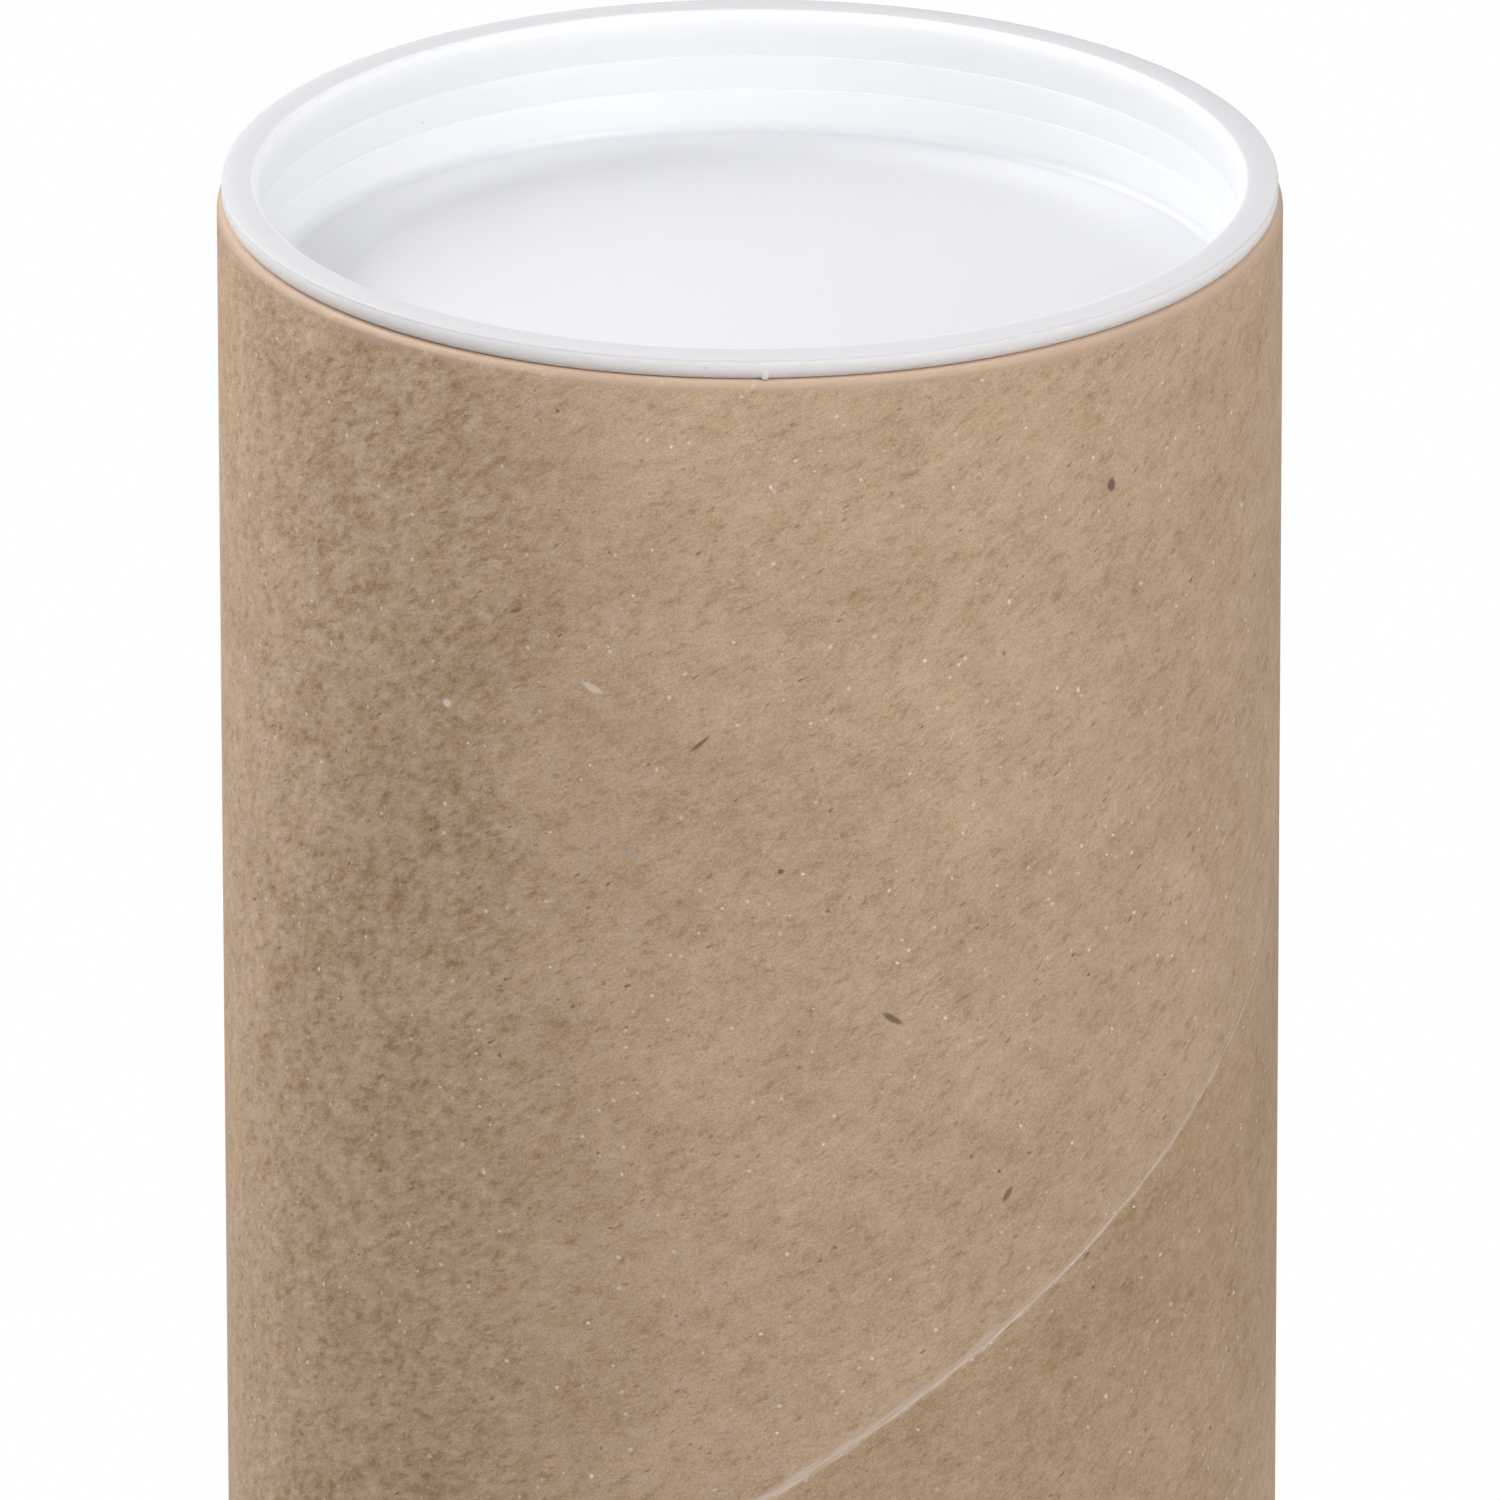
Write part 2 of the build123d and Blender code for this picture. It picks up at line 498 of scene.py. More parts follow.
# flecks are cells of a Voronoi pattern. Each cell has a number of its own from 0 to 1, and only those in the
# ranges given are drawn
kraftFlecks = [
    # cell along and across the grain in mm, turn in degrees, then colour, range and strength
    (1.5, 0.5, 22, (("darkFibre", 0.99, 1.0, 0.85), ("brownFibre", 0.955, 0.99, 0.65),
                    ("palePatch", 0.0, 0.05, 0.4))),
    (1.9, 0.34, -44, (("darkFibre", 0.993, 1.0, 0.7), ("brownFibre", 0.975, 0.993, 0.6))),
    (0.85, 0.8, 0, (("whiteSpeck", 0.972, 1.0, 0.9), ("darkSpot", 0.0, 0.004, 0.8),
                    ("blueSpeck", 0.004, 0.007, 0.5))),
    (2.6, 1.2, 0, (("palePatch", 0.95, 1.0, 0.45),)),
]
# single larger marks round the front of the upper end
kraftMarks = [
    # degrees round from the front, mm below the top end, length and width in mm, turn, colour, strength
    (41.95, 15.7, 1.45, 1.25, 90, "darkSpot", 0.8),
    (15.3, 67.3, 2.7, 0.8, -33, "darkSpot", 0.75),
    (28.6, 87.8, 2.0, 0.7, 56, "darkFibre", 0.75),
    (-5.4, 37.8, 2.8, 0.42, 38, "darkFibre", 0.8),
    (3.1, 51.1, 0.6, 0.6, 0, "darkSpot", 0.8),
    (-13.5, 49.2, 0.8, 0.6, 90, "blueSpeck", 0.7),
    (-17.1, 32.6, 2.6, 0.8, -22, "paleFlake", 0.75),
    (-34.3, 36.8, 1.1, 0.9, 0, "whiteSpeck", 0.8),
    (-25.8, 25.6, 1.5, 0.45, 25, "darkFibre", 0.7),
]
plyAngle = math.atan(tubeSizes["seamRise"] / (2 * math.pi * tubeSizes["outerRadius"]))
plyWidth = tubeSizes["seamRise"] * math.cos(plyAngle)


def paint(add, colour, amount, code, blend="MIX"):
    return add("Mix", {"Factor": amount, "A": colour, "B": hexColour(code)}, data_type="RGBA",
               blend_type=blend)


# where a point lies on the unwound ply: along its grain, across it, and how deep in the wall
def unwindPly(add):
    rise = tubeSizes["seamRise"]
    turnLength = 2 * math.pi * tubeSizes["outerRadius"]
    middleRadius = tubeSizes["outerRadius"] - tubeSizes["wall"] / 2
    place = add("TexCoord").outputs["Object"]
    split = add("SeparateXYZ", {0: place})
    flipped = add("Math", {0: split.outputs["Y"], 1: -1.0}, operation="MULTIPLY")
    angle = add("Math", {0: split.outputs["X"], 1: flipped}, operation="ARCTAN2")
    turn = add("Math", {0: angle, 1: 2 * math.pi}, operation="DIVIDE")
    level = add("VectorMath", {0: place, 1: (1, 1, 0)}, operation="MULTIPLY")
    radius = add("VectorMath", {0: level}, operation="LENGTH")
    isBore = add("Math", {0: radius, 1: middleRadius}, operation="LESS_THAN")
    climb = add("Math", {0: split.outputs["Z"], 1: 1 / rise, 2: -seamFrontHeight / rise},
                operation="MULTIPLY_ADD")
    climb = add("Math", {0: climb, 1: turn}, operation="SUBTRACT")
    climb = add("Math", {0: isBore, 1: tubeSizes["linerTurn"] / 360, 2: climb}, operation="MULTIPLY_ADD")
    lap = add("Math", {0: climb}, operation="FLOOR")
    part = add("Math", {0: climb}, operation="FRACT")
    across = add("Math", {0: part, 1: plyWidth}, operation="MULTIPLY")
    unwound = add("Math", {0: turn, 1: lap}, operation="ADD")
    unwound = add("Math", {0: unwound, 1: turnLength * math.cos(plyAngle)}, operation="MULTIPLY")
    along = add("Math", {0: split.outputs["Z"], 1: math.sin(plyAngle), 2: unwound}, operation="MULTIPLY_ADD")
    depth = add("Math", {0: isBore, 1: 0.05, 2: radius}, operation="MULTIPLY_ADD")
    way = add("Math", {0: turn, 1: turnLength}, operation="MULTIPLY")
    return {
        "turn": turn,           # -0.5 to 0.5, with 0 at the front
        "height": split.outputs["Z"],
        "radius": radius,
        "isBore": isBore,
        "climb": climb,         # turns of the winding above the seam
        "part": part,           # the same from the seam below to the seam above, 0 to 1
        "along": along,
        "sheet": add("CombineXYZ", {0: along, 1: across, 2: depth}),
        # the skin as seen from outside: way round, height, and 1 for the bore
        "skin": add("CombineXYZ", {0: way, 1: split.outputs["Z"], 2: isBore}),
    }


# mottling: clouds and patches, then wavy streaks, fibres and grit along the grain
def kraftTone(add, ply):
    k = kraft
    clouds = add("TexNoise", {"Vector": ply["sheet"], "Scale": 1 / k["cloud"], "Detail": 1.0})
    patches = add("TexNoise", {"Vector": ply["sheet"], "Scale": 1 / k["patch"], "Detail": 1.0})
    shake = add("VectorMath", {0: patches.outputs["Color"], 1: (0.5, 0.5, 0.5)}, operation="SUBTRACT")
    wavy = add("VectorMath", {0: shake, 1: (k["waver"], k["waver"], 0), 2: ply["sheet"]},
               operation="MULTIPLY_ADD")
    grain = add("Mapping", {"Vector": wavy, "Rotation": (0, 0, math.radians(k["grainTurn"])),
                            "Scale": (0.5, 1, 1)})
    streaks = add("TexNoise", {"Vector": grain, "Scale": 1 / k["streak"], "Detail": 3.0, "Roughness": 0.7})
    fibres = add("TexNoise", {"Vector": grain, "Scale": 1 / k["fibre"], "Detail": 1.0, "Roughness": 0.6})
    grit = add("TexNoise", {"Vector": ply["sheet"], "Scale": 1 / k["grit"], "Detail": 0.0})
    # painted shade: the paper's lower edge is a little darker, standing in for light that falls off towards
    # the bottom
    tone = add("MapRange", {"Value": ply["part"], "From Min": 0.72, "From Max": 0.92, "To Max": -0.09})
    for pattern, share in ((clouds, 0.25), (patches, 0.22), (streaks, 0.42), (fibres, 0.35), (grit, 0.36)):
        tone = add("Math", {0: pattern, 1: share, 2: tone}, operation="MULTIPLY_ADD")
    # the left of the front is more mottled
    left = add("MapRange", {"Value": ply["turn"], "From Min": -0.04, "From Max": -0.1},
               interpolation_type="SMOOTHSTEP")
    leftEnd = add("MapRange", {"Value": ply["turn"], "From Min": -0.26, "From Max": -0.16})
    left = add("Math", {0: left, 1: leftEnd}, operation="MULTIPLY")
    mottle = add("Math", {0: streaks, 1: 0.55, 2: -0.36}, operation="MULTIPLY_ADD")
    mottle = add("Math", {0: patches, 1: 0.13, 2: mottle}, operation="MULTIPLY_ADD")
    tone = add("Math", {0: mottle, 1: left, 2: tone}, operation="MULTIPLY_ADD")
    tone = add("MapRange", {"Value": tone, "From Min": 0.47, "From Max": 1.17})
    colour = add("Mix", {"Factor": tone, "A": hexColour(k["darkTone"]), "B": hexColour(k["lightTone"])},
                 data_type="RGBA")

    # the hue drifts a little to yellow in some patches, streaks and grains
    patchHue = add("SeparateXYZ", {0: shake})
    hue = add("Math", {0: patchHue.outputs["Z"], 1: 1.2, 2: clouds}, operation="MULTIPLY_ADD")
    for pattern in (streaks, grit):
        fineHue = add("SeparateXYZ", {0: pattern.outputs["Color"]})
        fineHue = add("Math", {0: fineHue.outputs["Z"], 1: 2.0, 2: -1.0}, operation="MULTIPLY_ADD")
        hue = add("Math", {0: hue, 1: fineHue}, operation="ADD")
    hue = add("MapRange", {"Value": hue, "From Min": 0.3, "From Max": 1.0, "To Max": 0.9})
    colour = paint(add, colour, hue, k["yellowing"], "MULTIPLY")
    # brown bundles of fibre show where the streaks are darkest
    bundle = add("MapRange", {"Value": streaks, "From Min": 0.41, "From Max": 0.28, "To Max": 0.3})
    colour = paint(add, colour, bundle, k["brownFibre"])
    ply.update(clouds=clouds, patches=patches, shake=shake, wavy=wavy, streaks=streaks, fibres=fibres,
               grit=grit)
    return colour


def addFlecks(add, ply, colour):
    for length, width, lean, kinds in kraftFlecks:
        cells = add("Mapping", {"Vector": ply["wavy"], "Rotation": (0, 0, math.radians(lean)),
                                "Location": (length * 11, width * 17, 0),
                                "Scale": (1 / (length * mm), 1 / (width * mm), 0)})
        spot = add("TexVoronoi", {"Vector": cells, "Scale": 1.0}, voronoi_dimensions="2D")
        pick = add("SeparateColor", {0: spot.outputs["Color"]})
        size = add("MapRange", {"Value": pick.outputs[1], "To Min": 0.16, "To Max": 0.42})
        ragged = add("Math", {0: ply["fibres"], 1: 0.6, 2: -0.3}, operation="MULTIPLY_ADD")
        ragged = add("Math", {0: ragged, 1: spot.outputs["Distance"]}, operation="ADD")
        spread = add("MapRange", {"Value": ragged, "From Min": size, "From Max": 0.06},
                     interpolation_type="SMOOTHSTEP")
        strength = add("MapRange", {"Value": pick.outputs[2], "To Min": 0.35, "To Max": 1.0})
        spread = add("Math", {0: spread, 1: strength}, operation="MULTIPLY")
        for name, low, high, most in kinds:
            chosen = add("Math", {0: pick.outputs[0], 1: (low + high) / 2, 2: (high - low) / 2},
                         operation="COMPARE")
            amount = add("Math", {0: chosen, 1: most}, operation="MULTIPLY")
            amount = add("Math", {0: amount, 1: spread}, operation="MULTIPLY")
            colour = paint(add, colour, amount, kraft[name])
    return colour


def addMarks(add, ply, colour):
    turnLength = 2 * math.pi * tubeSizes["outerRadius"]
    skin = add("VectorMath", {0: ply["shake"], 1: (0.5 * mm, 0.5 * mm, 0), 2: ply["skin"]},
               operation="MULTIPLY_ADD")
    for degrees, below, length, width, lean, name, most in kraftMarks:
        at = (degrees / 360 * turnLength, tubeHigh.z - below * mm, 0)
        # the small scale across the skin keeps the bore clear of the mark
        mark = add("Mapping", {"Vector": skin, "Location": at, "Rotation": (0, 0, math.radians(lean)),
                               "Scale": (length / 2 * mm, width / 2 * mm, 0.1)}, vector_type="TEXTURE")
        reach = add("VectorMath", {0: mark}, operation="LENGTH")
        amount = add("MapRange", {"Value": reach, "From Min": 1.2, "From Max": 0.55, "To Max": most},
                     interpolation_type="SMOOTHSTEP")
        colour = paint(add, colour, amount, kraft[name])
    return colour


# the butt seam: a dark hair line, with the paper rubbed pale beside it where it is handled most
def addSeam(add, ply, colour):
    k = seamLook
    offSeam = add("Math", {0: ply["climb"], 1: 0.5, 2: -0.5}, operation="WRAP")
    offSeam = add("Math", {0: offSeam, 1: plyWidth}, operation="MULTIPLY")
    drift = add("Math", {0: ply["clouds"], 1: k["drift"], 2: -k["drift"] / 2}, operation="MULTIPLY_ADD")
    offSeam = add("Math", {0: offSeam, 1: drift}, operation="ADD")
    swell = add("Math", {0: ply["along"], 1: 2 * math.pi / k["swell"], 2: k["swellStart"]},
                operation="MULTIPLY_ADD")
    swell = add("Math", {0: swell}, operation="SINE")

    scuff = add("VectorMath", {0: ply["sheet"], 1: (k["scuff"] / k["scuffLength"], 1, 1)},
                operation="MULTIPLY")
    scuff = add("TexNoise", {"Vector": scuff, "Scale": 1 / k["scuff"], "Detail": 1.0})
    # the pale band is rubbed paper, and over the valley's shaded upper flank it is also painted light
    ragged = add("Math", {0: offSeam, 1: k["rubShift"]}, operation="SUBTRACT")
    ragged = add("Math", {0: ragged}, operation="ABSOLUTE")
    ragged = add("Math", {0: ply["fibres"], 1: k["fibreFray"], 2: ragged}, operation="MULTIPLY_ADD")
    ragged = add("Math", {0: scuff, 1: k["fray"], 2: ragged}, operation="MULTIPLY_ADD")
    rub = add("MapRange", {"Value": ragged, "From Min": k["rubReach"], "From Max": k["rubFull"]},
              interpolation_type="SMOOTHSTEP")
    most = add("MapRange", {"Value": swell, "From Min": -0.6, "From Max": 0.6,
                            "To Min": 0.15, "To Max": 0.85})
    rub = add("Math", {0: rub, 1: most}, operation="MULTIPLY")
    colour = paint(add, colour, rub, kraft["seamRub"])

    crack = add("Math", {0: offSeam, 1: k["crackShift"]}, operation="ADD")
    crack = add("Math", {0: crack}, operation="ABSOLUTE")
    crack = add("MapRange", {"Value": crack, "From Min": k["crackReach"], "From Max": k["crackFull"]})
    most = add("MapRange", {"Value": swell, "From Min": -0.6, "From Max": 0.7,
                            "To Min": 0.7, "To Max": 0.1})
    crack = add("Math", {0: crack, 1: most}, operation="MULTIPLY")
    return paint(add, colour, crack, kraft["seamCrack"])


# cut ends: a burnished round outer edge, then the flat face with the glue lines of the plies
def addCutEnds(add, ply, colour):
    k = endLook
    outside = tubeSizes["outerRadius"]
    fromMiddle = add("Math", {0: ply["height"], 1: tubeMiddle}, operation="SUBTRACT")
    fromMiddle = add("Math", {0: fromMiddle}, operation="ABSOLUTE")
    toEnd = add("Math", {0: tubeHigh.z - tubeMiddle, 1: fromMiddle}, operation="SUBTRACT")
    worn = add("Math", {0: ply["patches"], 1: k["patchFray"], 2: toEnd}, operation="MULTIPLY_ADD")
    worn = add("Math", {0: ply["streaks"], 1: k["streakFray"], 2: worn}, operation="MULTIPLY_ADD")
    worn = add("MapRange", {"Value": worn, "From Min": k["wornReach"], "From Max": k["wornFull"],
                            "To Max": 0.75}, interpolation_type="SMOOTHSTEP")
    colour = paint(add, colour, worn, kraft["burnished"])

    inner = add("MapRange", {"Value": ply["radius"], "From Min": outside - k["roundReach"],
                             "From Max": outside - k["roundEnd"]})
    onFace = add("MapRange", {"Value": toEnd, "From Min": k["faceReach"], "From Max": k["faceFull"]})
    onFace = add("Math", {0: onFace, 1: inner}, operation="MULTIPLY")
    colour = paint(add, colour, onFace, kraft["cutFace"])
    # painted light: the paper at the end, under the flange, is painted paler to lift the shade in the gap
    # between the flange and the end
    gapLight = add("MapRange", {"Value": toEnd, "From Min": k["gapLightReach"], "From Max": k["gapLightFull"],
                             "To Max": 0.3})
    outer = add("Math", {0: 1.0, 1: inner}, operation="SUBTRACT")
    gapLight = add("Math", {0: gapLight, 1: outer}, operation="MULTIPLY")
    colour = paint(add, colour, gapLight, kraft["paintedGapLight"])

    depth = add("Math", {0: outside, 1: ply["radius"]}, operation="SUBTRACT")
    wander = add("Math", {0: ply["patches"], 1: k["plyWander"], 2: -k["plyWander"] / 2},
                 operation="MULTIPLY_ADD")
    depth = add("Math", {0: depth, 1: wander}, operation="ADD")
    plies = add("Math", {0: depth, 1: k["ply"]}, operation="DIVIDE")
    plies = add("Math", {0: plies, 1: 0.5, 2: -0.5}, operation="WRAP")
    plies = add("Math", {0: plies}, operation="ABSOLUTE")
    glue = add("MapRange", {"Value": plies, "From Min": 0.17, "From Max": 0.06, "To Max": 0.8})
    glue = add("Math", {0: glue, 1: onFace}, operation="MULTIPLY")
    return paint(add, colour, glue, kraft["glueLine"]), worn


def kraftBoard():
    material, add = newMaterial("kraftBoard")
    ply = unwindPly(add)
    colour = kraftTone(add, ply)
    colour = addFlecks(add, ply, colour)
    colour = addMarks(add, ply, colour)
    colour = addSeam(add, ply, colour)
    colour, worn = addCutEnds(add, ply, colour)
    relief = add("Math", {0: ply["streaks"], 1: 0.8, 2: ply["grit"]}, operation="MULTIPLY_ADD")
    bump = add("Bump", {"Strength": 0.4, "Distance": kraft["relief"], "Height": relief})
    rough = add("MapRange", {"Value": ply["fibres"], "From Min": 0.3, "From Max": 0.7,
                             "To Min": kraft["roughness"] - 0.08, "To Max": kraft["roughness"] + 0.06})
    rough = add("Math", {0: worn, 1: -0.2, 2: rough}, operation="MULTIPLY_ADD")
    shader = add("BsdfPrincipled", {"Base Color": colour, "Roughness": rough, "IOR": 1.5, "Normal": bump,
                                    "Sheen Weight": 0.03, "Sheen Roughness": 0.5})
    add("OutputMaterial", {"Surface": shader})
    return material


# white low density polyethylene, injection moulded: a little see-through, soft satin gloss with a fine
# moulded grain, a few trapped specks, and faint scuffs where it has been handled
polythene = {
    "white": "F6F7FA",
    "shade": "F1F3F7",
    "paintedFloorShade": "E3E4E8",      # painted shade on the floor of the recess
    "paintedRimShade": "D4D3D7",        # painted shade: the rim is painted greyer and duller; it is also rougher where it is handled
    "paintedCornerShade": "D0CFD4",         # painted shade, on the flange's top edge most of all
    "edge": "FBF2F3",           # painted glow: the flange's thin edge is painted paler, standing in for light that comes through it
    "speck": "C4C4CA",
    "roughness": 0.4,
    "rimRoughness": 0.62,
    "flow": 18 * mm,            # sizes of the patterns
    "wave": 9 * mm,
    "grain": 0.5 * mm,
    "speckSpacing": 4 * mm,
    "scratch": 0.7 * mm,
    "relief": 0.01 * mm,
    "glow": 2.5 * mm,           # how far light spreads inside
    "edgeGlow": 6.0 * mm,       # and how much farther in the thin edge
    "rimFade": 0.3 * mm,        # to both sides of the rim's inner edge
    "cornerReach": 0.28 * mm,   # in from the flange's side
    "cornerFull": 0.12 * mm,
    "thinReach": 0.15 * mm,     # down from the flange's face
    "thinFull": 0.4 * mm,
    "floorShadeReach": 1.2 * mm,      # above the recess floor
    "floorShadeFull": 0.2 * mm,
    "floorShadeEnd": 0.5 * mm,        # below it, so that the plug's underside stays free of the painted shade
    "stubReach": 0.4 * mm,      # sideways from the stub
    "stubClear": 0.7 * mm,
}


# where a point lies on the cap: its radius, and its distance from the level of the flange's face
def capPlace(add):
    place = add("TexCoord").outputs["Object"]
    level = add("VectorMath", {0: place, 1: (1, 1, 0)}, operation="MULTIPLY")
    split = add("SeparateXYZ", {0: place})
    fromMiddle = add("Math", {0: split.outputs["Z"], 1: tubeMiddle}, operation="SUBTRACT")
    fromMiddle = add("Math", {0: fromMiddle}, operation="ABSOLUTE")
    return {
        "place": place,
        "side": split.outputs["X"],
        "radius": add("VectorMath", {0: level}, operation="LENGTH"),
        "toFace": add("Math", {0: capHigh.z - tubeMiddle, 1: fromMiddle}, operation="SUBTRACT"),
    }


# the rim, the flange's top edge and the floor of the recess are painted a little darker as painted shade, and
# the flange's thin side a little paler as a painted glow
def capColour(add, at):
    p = polythene
    flow = add("TexNoise", {"Vector": at["place"], "Scale": 1 / p["flow"], "Detail": 2.0})
    colour = add("Mix", {"Factor": flow, "A": hexColour(p["white"]), "B": hexColour(p["shade"])},
                 data_type="RGBA")
    rimEdge = capHigh.x - capSizes["rimWidth"]
    # painted shade: the rim is painted greyer than the rest of the cap
    rim = add("MapRange", {"Value": at["radius"], "From Min": rimEdge - p["rimFade"],
                           "From Max": rimEdge + p["rimFade"]})
    colour = paint(add, colour, rim, p["paintedRimShade"])

    # painted shade: the floor of the recess is painted darker
    depth = capSizes["recessDepth"]
    floorShade = add("MapRange", {"Value": at["toFace"], "From Min": depth - p["floorShadeReach"],
                            "From Max": depth - p["floorShadeFull"]})
    inside = add("Math", {0: at["toFace"], 1: depth + p["floorShadeEnd"]}, operation="LESS_THAN")
    floorShade = add("Math", {0: floorShade, 1: inside}, operation="MULTIPLY")
    colour = paint(add, colour, floorShade, p["paintedFloorShade"])

    # painted shade on the flange's top edge, which damps its highlight
    paintedCornerShade = add("MapRange", {"Value": at["radius"], "From Min": capHigh.x - p["cornerReach"],
                              "From Max": capHigh.x - p["cornerFull"]})
    colour = paint(add, colour, paintedCornerShade, p["paintedCornerShade"])
    # painted glow: the flange's thin side is painted paler
    thin = add("MapRange", {"Value": at["toFace"], "From Min": p["thinReach"], "From Max": p["thinFull"]})
    thin = add("Math", {0: thin, 1: rim}, operation="MULTIPLY")
    colour = paint(add, colour, thin, p["edge"])

    spot = add("TexVoronoi", {"Vector": at["place"], "Scale": 1 / p["speckSpacing"]})
    pick = add("SeparateColor", {0: spot.outputs["Color"]})
    chosen = add("Math", {0: pick.outputs[0], 1: 0.75}, operation="GREATER_THAN")
    speck = add("MapRange", {"Value": spot.outputs["Distance"], "From Min": 0.04, "From Max": 0.025,
                             "To Max": 0.7})
    speck = add("Math", {0: speck, 1: chosen}, operation="MULTIPLY")
    return paint(add, colour, speck, p["speck"]), rim, thin


# how far light spreads inside: farther in the thin edge, apart from the thick stub
def capGlow(add, at, thin):
    p = polythene
    stubSide = capHigh.x * math.sin(math.radians(stubSizes["degrees"]))
    fromStub = add("Math", {0: at["side"], 1: stubSide}, operation="SUBTRACT")
    fromStub = add("Math", {0: fromStub}, operation="ABSOLUTE")
    fromStub = add("MapRange", {"Value": fromStub, "From Min": p["stubReach"], "From Max": p["stubClear"]})
    glow = add("Math", {0: thin, 1: fromStub}, operation="MULTIPLY")
    return add("Math", {0: glow, 1: p["edgeGlow"], 2: p["glow"]}, operation="MULTIPLY_ADD")


def mouldedPolyethylene():
    p = polythene
    material, add = newMaterial("mouldedPolyethylene")
    at = capPlace(add)
    colour, rim, thin = capColour(add, at)
    glow = capGlow(add, at, thin)

    grain = add("TexNoise", {"Vector": at["place"], "Scale": 1 / p["grain"], "Detail": 2.0})
    waves = add("TexNoise", {"Vector": at["place"], "Scale": 1 / p["wave"], "Detail": 1.0})
    scratch = add("VectorMath", {0: at["place"], 1: (1, 0.05, 1)}, operation="MULTIPLY")
    scratch = add("TexNoise", {"Vector": scratch, "Scale": 1 / p["scratch"], "Detail": 3.0,
                               "Distortion": 0.4})
    scratch = add("MapRange", {"Value": scratch, "From Min": 0.68, "From Max": 0.76})
    relief = add("Math", {0: waves, 1: 6.0, 2: grain}, operation="MULTIPLY_ADD")
    relief = add("Math", {0: scratch, 1: -0.6, 2: relief}, operation="MULTIPLY_ADD")
    bump = add("Bump", {"Strength": 0.6, "Distance": p["relief"], "Height": relief})
    rough = add("MapRange", {"Value": grain, "From Min": 0.3, "From Max": 0.7,
                             "To Min": p["roughness"] - 0.04, "To Max": p["roughness"] + 0.05})
    rough = add("Math", {0: scratch, 1: 0.12, 2: rough}, operation="MULTIPLY_ADD")
    rough = add("Math", {0: rim, 1: p["rimRoughness"] - p["roughness"], 2: rough}, operation="MULTIPLY_ADD")
    shader = add("BsdfPrincipled", {"Base Color": colour, "Roughness": rough, "IOR": 1.51, "Normal": bump,
                                    "Subsurface Weight": 0.8, "Subsurface Radius": (1.0, 0.95, 0.9),
                                    "Subsurface Scale": glow})
    add("OutputMaterial", {"Surface": shader})
    return material


def coat(piece, material):
    piece.data.materials.clear()
    piece.data.materials.append(material)


coat(tubePiece, kraftBoard())
plastic = mouldedPolyethylene()
coat(topCap, plastic)
coat(bottomCap, plastic)
print("materials made")


# floor, light and camera

# 1 for what the camera, gloss and clear pieces see, 0 for light that falls on the object
def seenDirectly(add):
    ray = add("LightPath")
    seen = add("Math", {0: ray.outputs["Is Camera Ray"], 1: ray.outputs["Is Glossy Ray"]},
               operation="MAXIMUM")
    return add("Math", {0: seen, 1: ray.outputs["Is Transmission Ray"]}, operation="MAXIMUM")


# a matt pale floor that turns to the white behind it from fadeStart to fadeEnd, measured from the tube
floorSizes = {"radius": 6.0, "sides": 96, "fadeStart": 0.25, "fadeEnd": 0.9, "colour": "F0F0EE"}


def makeFloor():
    s = floorSizes
    nothingSelected()
    bpy.ops.mesh.primitive_circle_add(vertices=s["sides"], radius=s["radius"], fill_type="NGON",
                                      location=(0, 0, 0))
    floor = bpy.context.object
    floor.name = "studioFloor"
    material, add = newMaterial("paleFloor")
    place = add("TexCoord").outputs["Object"]
    reach = add("VectorMath", {0: place}, operation="LENGTH")
    fade = add("MapRange", {"Value": reach, "From Min": s["fadeStart"], "From Max": s["fadeEnd"]})
    amount = add("Math", {0: seenDirectly(add), 1: fade}, operation="MULTIPLY")
    matt = add("BsdfDiffuse", {"Color": hexColour(s["colour"])})
    white = add("Emission", {"Color": (1, 1, 1, 1), "Strength": 1.0})
    mix = add("MixShader", {0: amount, 1: matt, 2: white})
    add("OutputMaterial", {"Surface": mix})
    coat(floor, material)


# the world is seen white, and lights the object softly
def makeWorld():
    world = bpy.data.worlds.new("studioWorld")
    bpy.context.scene.world = world
    world.use_nodes = True
    world.node_tree.nodes.clear()
    add = partial(addNode, world.node_tree)
    strength = add("MapRange", {"Value": seenDirectly(add), "To Min": 0.17, "To Max": 1.0})
    sky = add("Background", {"Color": (1, 1, 1, 1), "Strength": strength})
    add("OutputWorld", {"Surface": sky})


def areaLamp(name, place, aim, size, watts, cone):
    data = bpy.data.lights.new(name, "AREA")
    data.shape = "RECTANGLE"
    data.size, data.size_y = size
    data.energy = watts
    data.spread = math.radians(cone)
    lamp = bpy.data.objects.new(name, data)
    lamp.visible_camera = False
    bpy.context.scene.collection.objects.link(lamp)
    lamp.location = place
    lamp.rotation_euler = (aim - place).to_track_quat("-Z", "Y").to_euler()


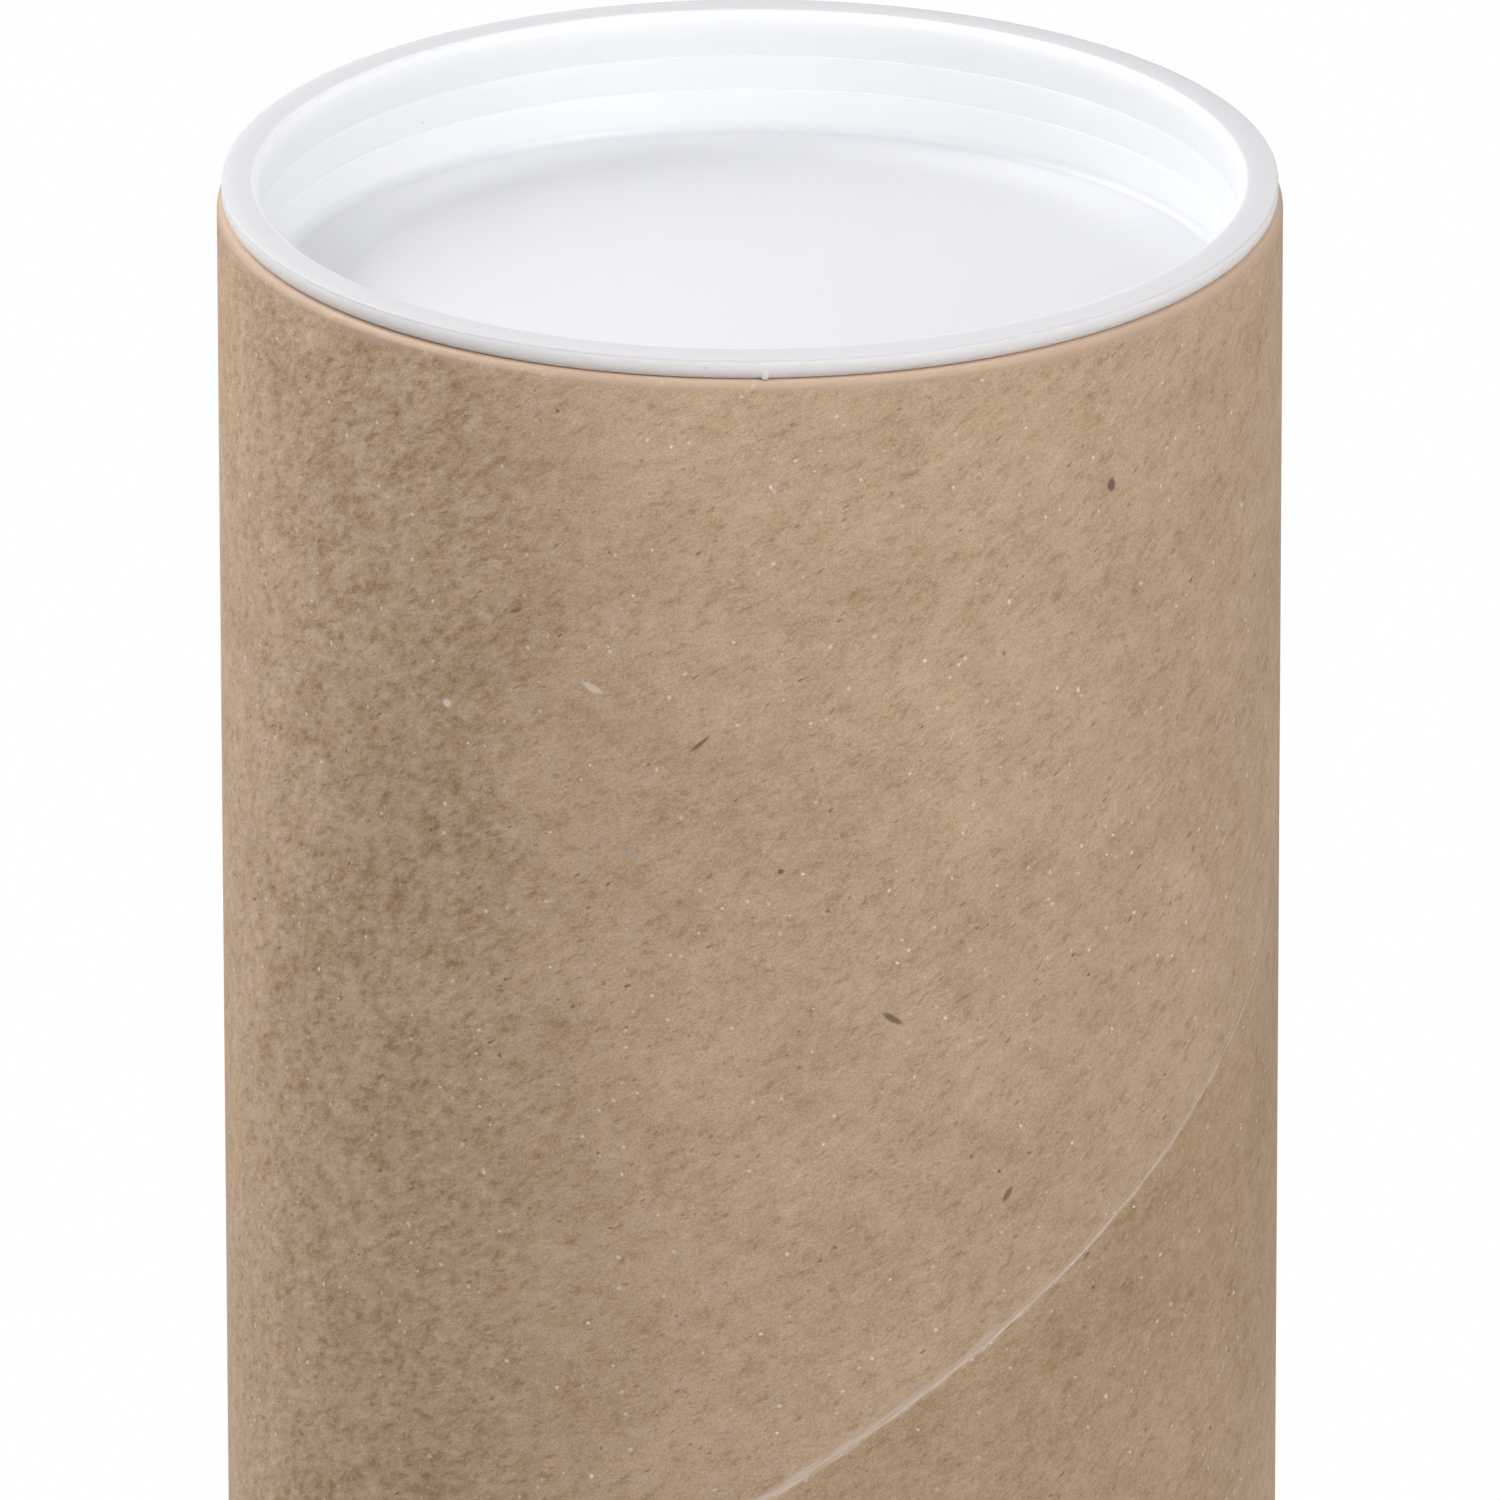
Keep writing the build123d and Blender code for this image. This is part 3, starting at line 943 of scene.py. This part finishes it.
# soft boxes in metres: azimuth to the right of the camera, elevation, distance, width, height, height of
# the point aimed at, watts, and the cone in degrees. The low ones light only the lower half of the tube
softBoxes = {
    "keyRight": (40, 31, 0.8, 0.35, 0.72, 0.6, 4.1, 180),
    "keyLeft": (-45, 45, 0.8, 0.35, 0.35, 0.6, 2.3, 180),
    "stripBehind": (-121, 34, 0.8, 0.28, 0.55, 0.6, 4.2, 180),
    "fillBehind": (130, 35, 0.8, 0.3, 0.3, 0.6, 0.5, 180),
    "lowRight": (50, 12, 0.8, 0.3, 0.3, 0.1, 0.15, 42),
    "lowLeft": (-70, 12, 0.8, 0.3, 0.3, 0.1, 0.15, 42),
    "lowBehind": (170, 12, 0.8, 0.3, 0.3, 0.1, 0.15, 42),
}

# the long lens of the photograph, looking down on the tube's upper end
cameraSizes = {
    "lens": 637.82,             # mm
    "sensor": 36,               # mm wide
    "distance": 2.6546,         # m
    "pitch": 21.2035,           # degrees, down
    "roll": 0.0867,             # degrees
    "aimHeight": 0.55306,       # m
    "aimSide": -0.00007,
}


def makeCamera():
    s = cameraSizes
    pitch = math.radians(s["pitch"])
    data = bpy.data.cameras.new("camera")
    data.sensor_width = s["sensor"]
    data.lens = s["lens"]
    camera = bpy.data.objects.new("camera", data)
    bpy.context.scene.collection.objects.link(camera)
    aim = Vector((s["aimSide"], 0, s["aimHeight"]))
    camera.location = aim + s["distance"] * Vector((0, -math.cos(pitch), math.sin(pitch)))
    camera.rotation_euler = (aim - camera.location).to_track_quat("-Z", "Y").to_euler()
    camera.rotation_euler.rotate_axis("Z", -math.radians(s["roll"]))
    bpy.context.scene.camera = camera


makeFloor()
makeWorld()
for name, (azimuth, elevation, distance, width, height, level, watts, cone) in softBoxes.items():
    a, e = math.radians(azimuth), math.radians(elevation)
    aim = Vector((0, 0, level))
    place = aim + distance * Vector((math.cos(e) * math.sin(a), -math.cos(e) * math.cos(a), math.sin(e)))
    areaLamp(name, place, aim, (width, height), watts, cone)
makeCamera()
bpy.context.scene.view_settings.view_transform = "Standard"
print("floor, light and camera placed")
